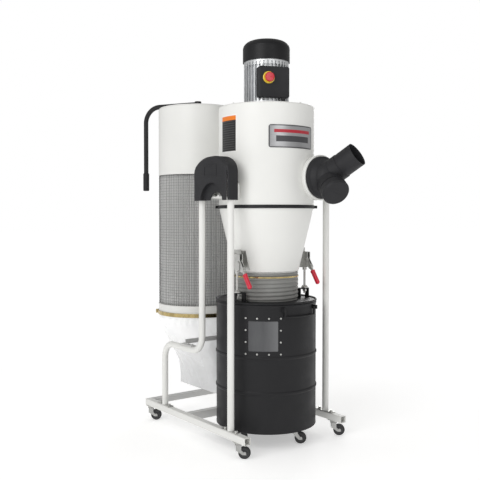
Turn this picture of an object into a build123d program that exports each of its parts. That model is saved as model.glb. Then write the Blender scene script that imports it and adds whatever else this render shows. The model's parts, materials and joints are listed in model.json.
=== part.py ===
import os
from math import cos, degrees, pi, radians, sin

from build123d import *

# Driving dimensions in millimetres. The cyclone's axis is the Z axis while building, the front is -Y.
# Base frame
RAIL_X = 262.0
RAIL = 30.0
RAIL_WALL = 2.0
RAIL_FRONT = -210.0
RAIL_REAR = 568.0
RAIL_Z = 67.0
RAIL_TOP = RAIL_Z + RAIL
MID_MEMBER_Y = 222.0
MEMBER_H = 34.0
MEMBER_D = 30.0
MEMBER_T = 3.0

# Side frames of bent tube
TUBE_R = 14.0
TUBE_WALL = 2.0
FRONT_LEG_Y = -98.0
UPPER_REAR_Y = 107.0
LOWER_REAR_Y = 412.0
JOG_Z = 386.0
BOW_Z = 1170.0
BEND_R = 68.0

# Covers over the bows
COVER_X0 = 240.0
COVER_X1 = 296.0
COVER_Y0 = -117.0
COVER_Y1 = 124.0
COVER_Z0 = 1029.0
COVER_Z1 = 1209.0
COVER_WALL = 3.0

# Cyclone
BARREL_R = 205.0
SHEET = 1.5
BAND_Z = 1004.0
BARREL_TOP = 1424.0
DECK_Z = 1252.0
VORTEX_R = 78.0
VORTEX_Z = 965.0
CONE_R = 141.0
CONE_Z = 733.0
SPIGOT_R = 132.0
INLET_X = 113.0
INLET_Z = 1125.0
INLET_R = 90.0
INLET_Y = -226.0
PLATE_T = 4.0
MOTOR_PLATE_TOP = BARREL_TOP + PLATE_T

# Inlet adapter
PORT_R = 50.8
PORT_WALL = 2.6
HUB_Y = -252.0
HUB_R = 66.0
FLANGE_R = 87.0
UPPER_PORT = Vector(0.295, -0.787, 0.541)
LOWER_PORT = Vector(-0.295, -0.787, -0.541)
UPPER_LEN = 164.0
LOWER_LEN = 122.0
CAP_R = 56.0
SHOULDER_R = 53.0
SHOULDER_END = 84.0

# Lid, drum and hose
DRUM_R = 215.0
DRUM_Z = 75.0
DRUM_TOP = 603.5
DRUM_WALL = 1.6
HOOP_Z = (242.0, 387.0)
HOOP_RISE = 3.2
LID_Z = 604.0
LID_T = 2.5
LID_HOLE_R = 126.0
HOSE_R = 139.0
HOSE_TOP = 727.0
HOSE_BOTTOM = 607.0
HOSE_RIBS = 11
WINDOW_AZ = -42.3
WINDOW_HALF = 61.5
WINDOW_Z = 476.5
SCREW_HALF = 73.0
HANDLE_AZ = 3.5
HANDLE_HALF = 22.0
HANDLE_PIVOT_R = 223.0
HANDLE_Z = 584.0
HANDLE_DROP = 30.0
HANDLE_ROD = 4.0
LIFT_X = 187.0
LIFT_Y = -41.0
LIFT_TOP = 648.0
LIFT_ROD_R = 5.0
STUD_TOP = 750.0

# Clamps
PIVOT_Z = 776.0
PIVOT_Y = -59.0
LEVER_TILT = 34.0
LEVER_LEN = 128.0

# Motor
FIN_R = 96.5
CORE_R = 83.0
FIN_COUNT = 36
SHAFT_R = 9.5
HOOD_R = 101.0
HOOD_Z0 = 1622.0
HOOD_Z1 = 1714.0
HOOD_EDGE = 46.0
HOOD_DROP = 35.0
BOX_AZ = -21.0
BOX_FRONT = 112.0
BOX_W = 132.0
BOX_Z0 = 1459.0
BOX_Z1 = 1588.0
BUTTON_T = -26.0
BUTTON_Z = 1540.0

# Filter
FILTER_Y = 530.5
FILTER_R = 192.0
FILTER_TOP = 1490.0
MESH_TOP = 1162.0
MESH_BOTTOM = 543.0
RING_BOTTOM = 478.0
BAG_BAND_Z = 499.0
PLEATS = 36
CAGE_WIRES = 92
CAGE_PITCH = 13.0
WIRE = 1.2
BAG_BOTTOM = 118.0
BAG_WALL = 1.2
DUCT_X0 = 12.0
DUCT_X1 = 190.0
DUCT_Z0 = 1278.0
DUCT_Z1 = 1408.0
CRANK_AZ = -151.0
CRANK_Z = 1514.0
CRANK_REACH = 297.0
CRANK_ROD = 11.5
CRANK_BEND = 78.0
GRIP_R = 15.2

# Casters
WHEEL_R = 25.0
WHEEL_W = 18.0
AXLE_R = 4.0
TRAIL = 24.0
TRAIL_AZ = 53.5
BASE_CASTERS = {
    "fl": (-RAIL_X, -150.0),
    "fr": (RAIL_X, -150.0),
    "rl": (-RAIL_X, 540.0),
    "rr": (RAIL_X, 540.0),
}
DRUM_CASTER_R = 144.0
DRUM_CASTERS = {
    "a": 19.4,
    "b": 139.4,
    "c": 259.4,
}

NODES = {}


def at(x, y, z, shape):
    return Pos(x, y, z) * shape


def ring(r_out, r_in, z0, z1):
    body = Cylinder(r_out, z1 - z0) - Cylinder(r_in, z1 - z0 + 2)
    return at(0, 0, (z0 + z1) / 2, body)


def rod(r, z0, z1):
    return at(0, 0, (z0 + z1) / 2, Cylinder(r, z1 - z0))


def block(x0, x1, y0, y1, z0, z1):
    return at((x0 + x1) / 2, (y0 + y1) / 2, (z0 + z1) / 2, Box(x1 - x0, y1 - y0, z1 - z0))


def facing(az, dist, z, shape):
    """Turn a shape whose front is -Y to the given azimuth and stand it off the axis."""
    return Rot(0, 0, az) * Pos(0, -dist, z) * shape


def round_rod(start, end, r):
    """Solid round bar between two points."""
    start = Vector(*start)
    end = Vector(*end)
    axis = end - start
    return extrude(Plane(origin=start, z_dir=axis.normalized()) * Circle(r), axis.length)


def lathe(points):
    """Solid of revolution about Z from (radius, height) corners."""
    face = make_face(Polyline(*[(r, 0, z) for r, z in points], close=True))
    return revolve(face, Axis.Z)


def hollow_along(start, axis, r_out, r_in, length):
    plane = Plane(origin=start, z_dir=axis)
    return extrude(plane * (Circle(r_out) - Circle(r_in)), length)


def hex_bolt(x, y, z, r=6.5, h=5.5):
    """Washer and hexagon head standing on height z."""
    washer = at(x, y, z + 0.6, Cylinder(r * 1.5, 1.2))
    head = at(x, y, z + 1.2, extrude(RegularPolygon(r, 6), h))
    return washer + head


def dome_screw(r, h):
    """Screw head that rises along -Y from the origin."""
    profile = [(0, 0), (r, 0), (r, h * 0.35), (r * 0.72, h * 0.85), (0, h)]
    return Rot(90, 0, 0) * lathe(profile)


def mirrored(shape):
    return mirror(shape, about=Plane.YZ)


def both_sides(shape):
    return Compound([shape, mirrored(shape)])


# ---------------------------------------------------------------- base frame
def base_rail():
    length = RAIL_REAR - RAIL_FRONT
    outer = Box(RAIL, length, RAIL)
    outer = fillet(outer.edges().filter_by(Axis.Y), 3.0)
    inner = Box(RAIL - 2 * RAIL_WALL, length + 2, RAIL - 2 * RAIL_WALL)
    inner = fillet(inner.edges().filter_by(Axis.Y), 1.5)
    tube = Pos(0, (RAIL_REAR + RAIL_FRONT) / 2, RAIL_Z + RAIL / 2) * (outer - inner)
    for _, y in (BASE_CASTERS["fl"], BASE_CASTERS["rl"]):
        tube -= at(0, y, RAIL_Z, Cylinder(5.2, 3 * RAIL_WALL))
    return at(RAIL_X, 0, 0, tube)


def angle_member(y0, web_at_front):
    half = RAIL_X - RAIL / 2
    flange = block(-half, half, y0, y0 + MEMBER_D, RAIL_TOP - MEMBER_T, RAIL_TOP)
    web_y = y0 if web_at_front else y0 + MEMBER_D - MEMBER_T
    web = block(-half, half, web_y, web_y + MEMBER_T, RAIL_TOP - MEMBER_H, RAIL_TOP)
    return flange + web


def cross_bar():
    bar = block(-RAIL_X, RAIL_X, 238, 258, JOG_Z + TUBE_R + 4, JOG_Z + TUBE_R + 7)
    bar += block(-RAIL_X, RAIL_X, 238, 241, JOG_Z + TUBE_R + 4, JOG_Z + TUBE_R + 24)
    for side in (-1, 1):
        bar += at(side * RAIL_X, 220, JOG_Z + TUBE_R + 2, Box(26, 90, 4))
        for y in (186, 222):
            bar += hex_bolt(side * RAIL_X, y, JOG_Z + TUBE_R + 4, 6.0, 5.0)
    return bar


def side_frame():
    path = FilletPolyline(
        (RAIL_X, FRONT_LEG_Y, RAIL_TOP + 4),
        (RAIL_X, FRONT_LEG_Y, BOW_Z),
        (RAIL_X, UPPER_REAR_Y, BOW_Z),
        (RAIL_X, UPPER_REAR_Y, JOG_Z),
        (RAIL_X, LOWER_REAR_Y, JOG_Z),
        (RAIL_X, LOWER_REAR_Y, RAIL_TOP + 4),
        radius=BEND_R,
    )
    start = Plane(origin=(RAIL_X, FRONT_LEG_Y, RAIL_TOP + 4), z_dir=(0, 0, 1))
    return sweep(start * (Circle(TUBE_R) - Circle(TUBE_R - TUBE_WALL)), path=path)


def frame_fasteners():
    parts = []
    for y in (FRONT_LEG_Y, LOWER_REAR_Y):
        plate = at(RAIL_X, y, RAIL_TOP + 2, Box(RAIL - 2, 100, 4))
        for dy in (-36, 36):
            plate += hex_bolt(RAIL_X, y + dy, RAIL_TOP + 4, 7.0, 6.0)
        parts += [plate, mirrored(plate)]
    return Compound(parts)


# ---------------------------------------------------------------- covers and hangers
def cover_outline(grow):
    """Side view of the cover: straight sides and an arched top, in the Y-Z plane."""
    y0 = COVER_Y0 - grow
    y1 = COVER_Y1 + grow
    z1 = COVER_Z1 + grow
    shoulder = COVER_Z1 - 72
    mid = (y0 + y1) / 2
    left = Spline([(0, y0, shoulder), (0, y0 + 34, z1 - 16), (0, mid - 20, z1)],
                  tangents=[(0, 0, 1), (0, 1, 0)])
    right = Spline([(0, mid - 10, z1), (0, y1 - 38, z1 - 18), (0, y1, shoulder)],
                   tangents=[(0, 1, 0), (0, 0, -1)])
    lines = [
        Line((0, y0, COVER_Z0), (0, y0, shoulder)),
        left,
        Line((0, mid - 20, z1), (0, mid - 10, z1)),
        right,
        Line((0, y1, shoulder), (0, y1, COVER_Z0)),
        Line((0, y1, COVER_Z0), (0, y0, COVER_Z0)),
    ]
    return make_face(Wire(lines))


def arch(y_mid, half, z_top, depth):
    """Arched cutter that opens the cover's lower edge, extruded along +X from x = 0."""
    z0 = COVER_Z0 - 5
    spring = z_top - half
    lines = [
        Line((0, y_mid - half, z0), (0, y_mid - half, spring)),
        ThreePointArc((0, y_mid - half, spring), (0, y_mid, z_top), (0, y_mid + half, spring)),
        Line((0, y_mid + half, spring), (0, y_mid + half, z0)),
        Line((0, y_mid + half, z0), (0, y_mid - half, z0)),
    ]
    return extrude(make_face(Wire(lines)), depth, dir=(1, 0, 0))


def top_cover():
    depth = COVER_X1 - COVER_X0
    outer = at(COVER_X0, 0, 0, extrude(cover_outline(0), depth, dir=(1, 0, 0)))
    rim = outer.edges().filter_by(lambda e: abs(e.center().X - COVER_X1) < 0.1)
    rim = [e for e in rim if e.center().Z > COVER_Z0 + 1]
    outer = chamfer(rim, 9.0)
    inner = extrude(cover_outline(-COVER_WALL), depth - COVER_WALL, dir=(1, 0, 0))
    body = outer - at(COVER_X0 - 1, 0, -6, inner)
    recess = at(COVER_X1 - 16, 0, 0, arch(-8, 78, COVER_Z0 + 72, 30))
    pocket = arch(-8, 81, COVER_Z0 + 75, 3)
    body += at(COVER_X1 - 19, 0, 0, pocket) & outer
    skirt = at(COVER_X1 - 19, 0, 0, arch(-8, 81, COVER_Z0 + 75, 19)) & outer
    body += skirt - recess
    body -= recess
    body -= at(COVER_X1 - 25, 0, 0, arch(-24, 46, COVER_Z0 + 34, 40))
    frame = block(COVER_X1 - 1, COVER_X1 + 1.2, -46, 43, 1127, 1174)
    frame -= block(COVER_X1 - 2, COVER_X1 + 2, -41, 38, 1132, 1169)
    return body + frame


def hanger():
    """Bracket that carries the cyclone from the bow: strap on the tubes, arm to the barrel."""
    strap = block(RAIL_X - TUBE_R - 4, RAIL_X - TUBE_R, -104, 112, 1036, 1078)
    arm = block(196, RAIL_X - TUBE_R - 4, -70, 74, 1036, 1040)
    arm += block(196, RAIL_X - TUBE_R - 4, -70, -66, 1036, 1100)
    arm += block(196, RAIL_X - TUBE_R - 4, 70, 74, 1036, 1100)
    body = strap + arm
    tab = block(RAIL_X - TUBE_R, RAIL_X + 12, -64, 44, 1040, 1044)
    body += tab
    body -= rod(BARREL_R + 0.2, 1000, 1200)
    body -= Pos(INLET_X, -150, INLET_Z) * Rot(90, 0, 0) * Cylinder(INLET_R + 1, 300)
    for y in (-48, -16, 18):
        body += hex_bolt(RAIL_X, y, 1044, 7.0, 6.0)
    return body


# ---------------------------------------------------------------- cyclone
def cyclone_barrel():
    shell = lathe([
        (BARREL_R - SHEET, BAND_Z + 1),
        (BARREL_R, BAND_Z + 1),
        (BARREL_R, BARREL_TOP),
        (BARREL_R - SHEET, BARREL_TOP),
    ])
    shell -= hollow_cut(INLET_R - SHEET)
    window = block(DUCT_X0 + SHEET, DUCT_X1 - SHEET, 20, BARREL_R + 20, DUCT_Z0 + SHEET, DUCT_Z1 - SHEET)
    return shell - window


def hollow_cut(r):
    """Cutter for the inlet pipe, open toward the front."""
    return Pos(INLET_X, 0, INLET_Z) * Rot(90, 0, 0) * Pos(0, 0, 120) * Cylinder(r, 240)


def inlet_duct():
    pipe = hollow_along((INLET_X, INLET_Y, INLET_Z), (0, 1, 0), INLET_R, INLET_R - SHEET, -INLET_Y)
    pipe -= rod(BARREL_R, 900, 1424)
    bead = hollow_along((INLET_X, INLET_Y, INLET_Z), (0, 1, 0), INLET_R + 5, INLET_R - SHEET, 9)
    bead = fillet(bead.edges().filter_by(GeomType.CIRCLE).sort_by(SortBy.RADIUS)[-2:], 3.5)
    return pipe + bead


def cyclone_cone():
    t = SHEET
    return lathe([
        (BARREL_R - 1, BAND_Z - 1),
        (BARREL_R - 1 - t, BAND_Z - 1),
        (CONE_R - t, CONE_Z + 3),
        (SPIGOT_R - t, CONE_Z - 1),
        (SPIGOT_R - t, 690),
        (SPIGOT_R, 690),
        (SPIGOT_R, CONE_Z - 3),
        (CONE_R, CONE_Z),
    ])


def cone_band():
    band = lathe([
        (BARREL_R - 0.6, BAND_Z - 7),
        (BARREL_R + 2.2, BAND_Z - 7),
        (BARREL_R + 3.2, BAND_Z - 3),
        (BARREL_R + 3.2, BAND_Z + 3),
        (BARREL_R + 2.2, BAND_Z + 7),
        (BARREL_R, BAND_Z + 7),
        (BARREL_R, BAND_Z + 1),
        (BARREL_R - 0.6, BAND_Z + 0.9),
    ])
    for az in (51, 231):
        band -= facing(az, BARREL_R + 4, BAND_Z, Box(2, 20, 24))
        for dx in (-1, 1):
            band += facing(az, BARREL_R + 8.5, BAND_Z, at(dx * 4, 0, 0, Box(3, 12, 12)))
        bolt = Rot(0, 90, 0) * Cylinder(2.5, 26)
        band += facing(az, BARREL_R + 10, BAND_Z, bolt)
        head = Rot(0, 90, 0) * extrude(RegularPolygon(5, 6), 4)
        band += facing(az, BARREL_R + 10, BAND_Z, at(-13, 0, 0, head))
        band += facing(az, BARREL_R + 10, BAND_Z, at(9, 0, 0, head))
    return band


def vortex_deck():
    """Floor of the blower chamber with the vortex tube under it."""
    r = BARREL_R - SHEET
    return lathe([
        (VORTEX_R - SHEET, VORTEX_Z),
        (VORTEX_R, VORTEX_Z),
        (VORTEX_R, DECK_Z - 2),
        (r, DECK_Z - 2),
        (r, DECK_Z),
        (VORTEX_R - SHEET, DECK_Z),
    ])


def motor_plate():
    plate = lathe([
        (SHAFT_R + 6, BARREL_TOP),
        (BARREL_R + 1.5, BARREL_TOP),
        (BARREL_R + 1.5, BARREL_TOP + 1.5),
        (BARREL_R - 1.0, MOTOR_PLATE_TOP),
        (SHAFT_R + 6, MOTOR_PLATE_TOP),
    ])
    for k in range(4):
        a = radians(-83 + 90 * k)
        r = BARREL_R - 10
        plate += hex_bolt(r * sin(a), -r * cos(a), MOTOR_PLATE_TOP, 4.0, 4.0)
    return plate


def outlet_duct():
    y0, y1 = 60, FILTER_Y - 60
    outer = block(DUCT_X0, DUCT_X1, y0, y1, DUCT_Z0, DUCT_Z1)
    inner = block(DUCT_X0 + SHEET, DUCT_X1 - SHEET, y0 - 5, y1 + 5, DUCT_Z0 + SHEET, DUCT_Z1 - SHEET)
    shell = outer - inner
    shell -= rod(BARREL_R, 1200, 1424)
    shell -= at(0, FILTER_Y, 0, rod(FILTER_R, 1200, 1500))
    return shell


def nameplate():
    """Plain curved plate with a raised border."""
    r = BARREL_R
    z0, z1 = 1242.0, 1335.0
    cutter = Box(2 * r * sin(radians(31.5)), 2 * r, z1 - z0)
    cutter = fillet(cutter.edges().filter_by(Axis.Y), 9.0)
    plate = ring(r + 1.6, r, z0 - 5, z1 + 5) & facing(-5, r, (z0 + z1) / 2, cutter)
    inner = Box(2 * (r - 3) * sin(radians(30)), 2 * r, z1 - z0 - 12)
    inner = fillet(inner.edges().filter_by(Axis.Y), 6.0)
    groove = ring(r + 3, r + 1.0, z0 - 5, z1 + 5) & facing(-5, r, (z0 + z1) / 2, inner)
    return plate - groove


def label():
    r = BARREL_R
    z0, z1 = 1228.0, 1383.0
    return ring(r + 0.6, r, z0 - 5, z1 + 5) & facing(-89.5, r, (z0 + z1) / 2, Box(103, 40, z1 - z0))


# ---------------------------------------------------------------- inlet adapter
def adapter_hub(inset):
    """Flange, taper and rounded end of the adapter, drawn along +Z from the inlet pipe."""
    r = HUB_R - inset
    if inset:
        profile = [(0, -2), (FLANGE_R - 6, -2), (FLANGE_R - 6, 9), (FLANGE_R - 12, 14), (HUB_R - 4, 32)]
    else:
        profile = [(0, 0.4), (FLANGE_R, 0.4), (FLANGE_R + 1, 4), (FLANGE_R, 12), (FLANGE_R - 9, 17)]
    for k in range(9):
        a = radians(90 * k / 8)
        profile.append((r * cos(a), 34 + 0.95 * r * sin(a)))
    return lathe(profile)


def adapter_port(axis, r, length):
    hub = Vector(INLET_X, HUB_Y, INLET_Z)
    return extrude(Plane(origin=hub, z_dir=axis) * Circle(r), length)


def inlet_adapter():
    """Flange, hub and two ports; hollow all the way through."""
    base = Plane(origin=(INLET_X, INLET_Y, INLET_Z), z_dir=(0, -1, 0))
    body = base * adapter_hub(0)
    hollow = base * adapter_hub(3)
    for axis, length in ((UPPER_PORT, UPPER_LEN), (LOWER_PORT, LOWER_LEN)):
        body += adapter_port(axis, PORT_R, length)
        body += adapter_port(axis, SHOULDER_R, SHOULDER_END)
        hollow += adapter_port(axis, PORT_R - PORT_WALL, length + 5)
    shell = body - hollow
    return shell.solids().sort_by(SortBy.VOLUME)[-1]


def port_cap():
    hub_centre = Vector(INLET_X, HUB_Y, INLET_Z)
    start = hub_centre + LOWER_PORT * (LOWER_LEN - 30)
    plane = Plane(origin=start, z_dir=LOWER_PORT)
    return plane * lathe([
        (PORT_R + 0.3, 0),
        (CAP_R, 0),
        (CAP_R, 28),
        (CAP_R - 6, 36),
        (0, 37),
        (0, 34),
        (PORT_R - PORT_WALL, 33),
        (PORT_R + 0.3, 30.2),
    ])


# ---------------------------------------------------------------- motor
def motor_body():
    z0 = MOTOR_PLATE_TOP
    body = lathe([
        (SHAFT_R + 6, z0),
        (92, z0),
        (92, z0 + 10),
        (CORE_R, z0 + 14),
        (CORE_R, 1600),
        (CORE_R, 1640),
        (CORE_R - 9, 1640),
        (CORE_R - 9, z0 + 24),
        (SHAFT_R + 6, z0 + 24),
    ])
    body += ring(FIN_R, CORE_R - 4, z0 + 12, z0 + 20)
    body += ring(FIN_R, CORE_R - 4, 1602, 1640)
    fin = block(-2.0, 2.0, -FIN_R, -CORE_R + 4, z0 + 16, 1604)
    notch = block(-2.6, 2.6, -FIN_R - 5, -FIN_R + 9, 1600, 1615)
    for k in range(FIN_COUNT):
        body += Rot(0, 0, 360 / FIN_COUNT * k) * fin
        body -= Rot(0, 0, 360 / FIN_COUNT * (k + 0.5)) * notch
    stator = ring(CORE_R - 9, 48, 1490, 1575)
    bearing = ring(CORE_R - 9, SHAFT_R + 0.06, 1590, 1600)
    return body + stator + bearing


def fan_cover():
    t = 2.0
    shoulder = HOOD_Z1 - HOOD_DROP
    dome = [(HOOD_R, HOOD_Z0), (HOOD_R, shoulder)]
    inner = [(HOOD_R - t, HOOD_Z0), (HOOD_R - t, shoulder)]
    for k in range(1, 9):
        a = radians(90 * k / 8)
        dome.append((HOOD_R - HOOD_EDGE * (1 - cos(a)), shoulder + HOOD_DROP * sin(a)))
        inner.append((HOOD_R - HOOD_EDGE + (HOOD_EDGE - t) * cos(a), shoulder + (HOOD_DROP - t) * sin(a)))
    dome.append((0, HOOD_Z1))
    hood = lathe([(0, HOOD_Z1 - t)] + inner[::-1] + dome)
    slot = block(-2.2, 2.2, 20, 52, HOOD_Z1 - 10, HOOD_Z1 + 5)
    for k in range(16):
        hood -= Rot(0, 0, 22.5 * k) * slot
    lug = ring(HOOD_R - t, FIN_R, HOOD_Z0 + 4, HOOD_Z0 + 14)
    for k in range(4):
        hood += lug & facing(45 + 90 * k, FIN_R, HOOD_Z0 + 9, Box(14, 20, 10))
    return hood


def switch_box():
    depth = BOX_FRONT - 62
    body = Box(BOX_W, depth, BOX_Z1 - BOX_Z0)
    outline = body.edges().filter_by(Axis.Y)
    body = fillet(outline, 8.0)
    front = [e for e in body.edges() if abs(e.center().Y + depth / 2) < 0.1]
    body = fillet(front, 4.0)
    cavity = Box(BOX_W - 6, depth - 2.5, BOX_Z1 - BOX_Z0 - 6)
    body -= at(0, 3, 0, cavity)
    body = facing(BOX_AZ, 62 + depth / 2, (BOX_Z0 + BOX_Z1) / 2, body)
    body -= rod(FIN_R + 0.4, BOX_Z0 - 5, BOX_Z1 + 5)
    hole = Rot(90, 0, 0) * Cylinder(8.4, 12)
    body -= facing(BOX_AZ, BOX_FRONT, BUTTON_Z, at(BUTTON_T, 0, 0, hole))
    for dx in (-1, 1):
        for dz in (-1, 1):
            screw = at(dx * (BOX_W / 2 - 9), 0, dz * 55, dome_screw(3.2, 1.6))
            body += facing(BOX_AZ, BOX_FRONT, (BOX_Z0 + BOX_Z1) / 2, screw)
    gland = lathe([(0, 0), (10, 0), (10, -9), (7.5, -12), (7.5, -20), (0, -20)])
    return body + facing(BOX_AZ, 104, BOX_Z0, at(40, 0, 0.5, gland) & block(0, 80, -7.9, 20, -30, 1))


def switch_ring():
    body = lathe([(8.4, 0), (25, 0), (25, 3), (22.5, 5), (8.4, 5)])
    body = Rot(90, 0, 0) * body
    return facing(BOX_AZ, BOX_FRONT, BUTTON_Z, at(BUTTON_T, 0, 0, body))


def stop_button():
    body = lathe([
        (0, -7),
        (8.3, -7),
        (8.3, 10.4),
        (18, 10.4),
        (20, 13),
        (20, 17),
        (17, 20.5),
        (0, 22),
    ])
    body = Rot(90, 0, 0) * body
    return facing(BOX_AZ, BOX_FRONT, BUTTON_Z, at(BUTTON_T, 0, 0, body))


def motor_rotor():
    """Shaft, rotor core and the cooling fan under the hood."""
    body = lathe([
        (0, 1268),
        (SHAFT_R - 1.5, 1268),
        (SHAFT_R, 1270),
        (SHAFT_R, 1494),
        (47, 1494),
        (47, 1571),
        (SHAFT_R, 1571),
        (SHAFT_R, 1652),
        (24, 1652),
        (24, 1676),
        (0, 1676),
    ])
    blade = block(-1.5, 1.5, 22, 82, 1654, 1674)
    for k in range(8):
        body += Rot(0, 0, 45 * k + 10) * blade
    body += ring(82, 20, 1652, 1654.5)
    return body


def impeller():
    """Back plate under the motor with curved blades and an eye ring over the vortex tube."""
    plate = ring(172, SHAFT_R, 1376, 1379)
    hub = ring(30, SHAFT_R, 1330, 1378)
    body = plate + hub
    eye = ring(172, 92, 1292, 1294)
    for k in range(10):
        a0 = 36 * k
        arc = ThreePointArc((25, 0, 1293), (105, 22, 1293), (170, 0, 1293))
        inner = ThreePointArc((170, 0, 1293), (105, 25, 1293), (25, 0, 1293))
        blade = extrude(make_face(Wire([arc, inner])), 84, dir=(0, 0, 1))
        body += Rot(0, 0, a0) * blade
    return body + eye


# ---------------------------------------------------------------- filter
def filter_housing():
    t = SHEET
    shell = lathe([
        (FILTER_R - t, MESH_TOP),
        (FILTER_R, MESH_TOP),
        (FILTER_R, FILTER_TOP - 10),
        (FILTER_R - 3, FILTER_TOP - 3),
        (FILTER_R - 12, FILTER_TOP),
        (12, FILTER_TOP + 3),
        (12, FILTER_TOP + 3 - t),
        (FILTER_R - 13, FILTER_TOP - t),
        (FILTER_R - t, FILTER_TOP - 11),
    ])
    shell += ring(16, 7.06, FILTER_TOP - 26, FILTER_TOP + 3)
    shell += ring(16.5, 11, FILTER_TOP + 1, FILTER_TOP + 3)
    shell = at(0, FILTER_Y, 0, shell)
    window = block(DUCT_X0 + t, DUCT_X1 - t, 330, FILTER_Y, DUCT_Z0 + t, DUCT_Z1 - t)
    return shell - (window - at(0, FILTER_Y, 0, rod(60, 1200, 1500)))


def filter_medium():
    """Pleated sleeve between the housing and the lower ring."""
    outer = []
    inner = []
    for k in range(PLEATS):
        for step, radius in ((0, 186.0), (0.5, 160.0)):
            a = 2 * pi * (k + step) / PLEATS
            outer.append((radius * cos(a), radius * sin(a)))
            inner.append(((radius - 3.0) * cos(a), (radius - 3.0) * sin(a)))
    sleeve = make_face(Polyline(*outer, close=True)) - make_face(Polyline(*inner, close=True))
    return at(0, FILTER_Y, MESH_BOTTOM, extrude(sleeve, MESH_TOP - MESH_BOTTOM))


def filter_cage():
    wires = []
    for k in range(CAGE_WIRES):
        wire = block(-WIRE / 2, WIRE / 2, -190.6, -190.6 + WIRE, MESH_BOTTOM, MESH_TOP)
        wires.append(at(0, FILTER_Y, 0, Rot(0, 0, 360 / CAGE_WIRES * k) * wire))
    count = int((MESH_TOP - MESH_BOTTOM) / CAGE_PITCH)
    for k in range(count):
        z = MESH_BOTTOM + CAGE_PITCH * (k + 0.6)
        wires.append(at(0, FILTER_Y, z, Cylinder(190.62 + WIRE, WIRE) - Cylinder(190.62, WIRE + 1)))
    return Compound(wires)


def filter_base_ring():
    t = SHEET
    body = lathe([
        (FILTER_R - 3, RING_BOTTOM),
        (FILTER_R + 1, RING_BOTTOM),
        (FILTER_R + 1, MESH_BOTTOM - 6),
        (FILTER_R + 2.5, MESH_BOTTOM - 3),
        (FILTER_R + 1, MESH_BOTTOM),
        (FILTER_R - 34, MESH_BOTTOM),
        (FILTER_R - 34, MESH_BOTTOM - t),
        (FILTER_R - 3, MESH_BOTTOM - t),
    ])
    return at(0, FILTER_Y, 0, body)


def band_clamp(r, z, width, lug_az):
    """Band with a tightening bolt through two lugs."""
    band = ring(r + 1.5, r, z - width / 2, z + width / 2)
    for dx in (-1, 1):
        band += facing(lug_az, r + 6, z, at(dx * 5, 0, 0, Box(2.5, 12, width)))
    bolt = Rot(0, 90, 0) * Cylinder(2.5, 26)
    return band + facing(lug_az, r + 8, z, bolt)


def bag_section(z, across, along, steps=48):
    """One level of the bag: half lengths across and along its seam."""
    turns = [2 * pi * k / steps for k in range(steps)]
    points = [(across * cos(t), along * sin(t) + FILTER_Y, z) for t in turns]
    return Face(Wire(Spline(points, periodic=True)))


def collection_bag():
    """Round at the mouth, pressed to a straight seam at the bottom."""
    levels = [
        (506, 194.0, 194.0),
        (478, 194.0, 194.0),
        (450, 190.0, 193.0),
        (425, 180.0, 191.0),
        (400, 166.0, 188.0),
        (375, 152.0, 185.0),
        (345, 132.0, 181.0),
        (310, 102.0, 175.0),
        (275, 70.0, 168.0),
        (240, 42.0, 164.0),
        (200, 24.0, 162.0),
        (160, 13.0, 162.0),
        (BAG_BOTTOM, 4.0, 165.0),
    ]
    outer = loft([bag_section(z, across, along) for z, across, along in levels])
    wall = BAG_WALL
    inner = loft([bag_section(z + 0.2, across - wall, along - wall) for z, across, along in levels])
    mouth = at(0, FILTER_Y, 0, rod(FILTER_R + 1, RING_BOTTOM, 510))
    return outer - inner - mouth


def filter_crank():
    """Crank over the filter, its shaft and the paddles that brush the pleats."""
    a = radians(CRANK_AZ)
    out = Vector(sin(a), -cos(a), 0)
    centre = Vector(0, FILTER_Y, CRANK_Z)
    elbow = centre + out * CRANK_REACH
    low = CRANK_Z - 250
    tip = Vector(elbow.X, elbow.Y, low)
    path = FilletPolyline(centre, elbow, tip, radius=CRANK_BEND)
    body = sweep(Plane(origin=centre, z_dir=out) * Circle(CRANK_ROD), path=path)
    grip_lo = CRANK_Z - 420
    grip_hi = CRANK_Z - 330
    body += at(elbow.X, elbow.Y, (low + grip_hi) / 2, Cylinder(CRANK_ROD, low - grip_hi))
    grip = at(elbow.X, elbow.Y, (grip_lo + grip_hi) / 2, Cylinder(GRIP_R, grip_hi - grip_lo))
    body += fillet(grip.edges(), 5.0)
    body += at(0, FILTER_Y, 0, rod(14, FILTER_TOP + 3.3, CRANK_Z - 5))
    body += at(0, FILTER_Y, CRANK_Z + 4, Cylinder(16, 18))
    body += at(0, FILTER_Y, 0, rod(7.0, 560, CRANK_Z))
    for z in (600, 850, 1100):
        body += at(0, FILTER_Y, z, Box(300, 10, 10))
    for side in (-1, 1):
        body += at(side * 150, FILTER_Y, 850, Box(8, 24, 560))
    return body


# ---------------------------------------------------------------- hose and lid
def flex_hose():
    pitch = (HOSE_TOP - HOSE_BOTTOM) / HOSE_RIBS
    outer = []
    inner = []
    for k in range(HOSE_RIBS + 1):
        z = HOSE_BOTTOM + pitch * k
        outer.append((HOSE_R - 4.5, z))
        inner.append((HOSE_R - 6.0, z))
        if k < HOSE_RIBS:
            outer.append((HOSE_R, z + pitch * 0.35))
            outer.append((HOSE_R, z + pitch * 0.65))
            inner.append((HOSE_R - 1.5, z + pitch * 0.35))
            inner.append((HOSE_R - 1.5, z + pitch * 0.65))
    return lathe(outer + inner[::-1])


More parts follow.
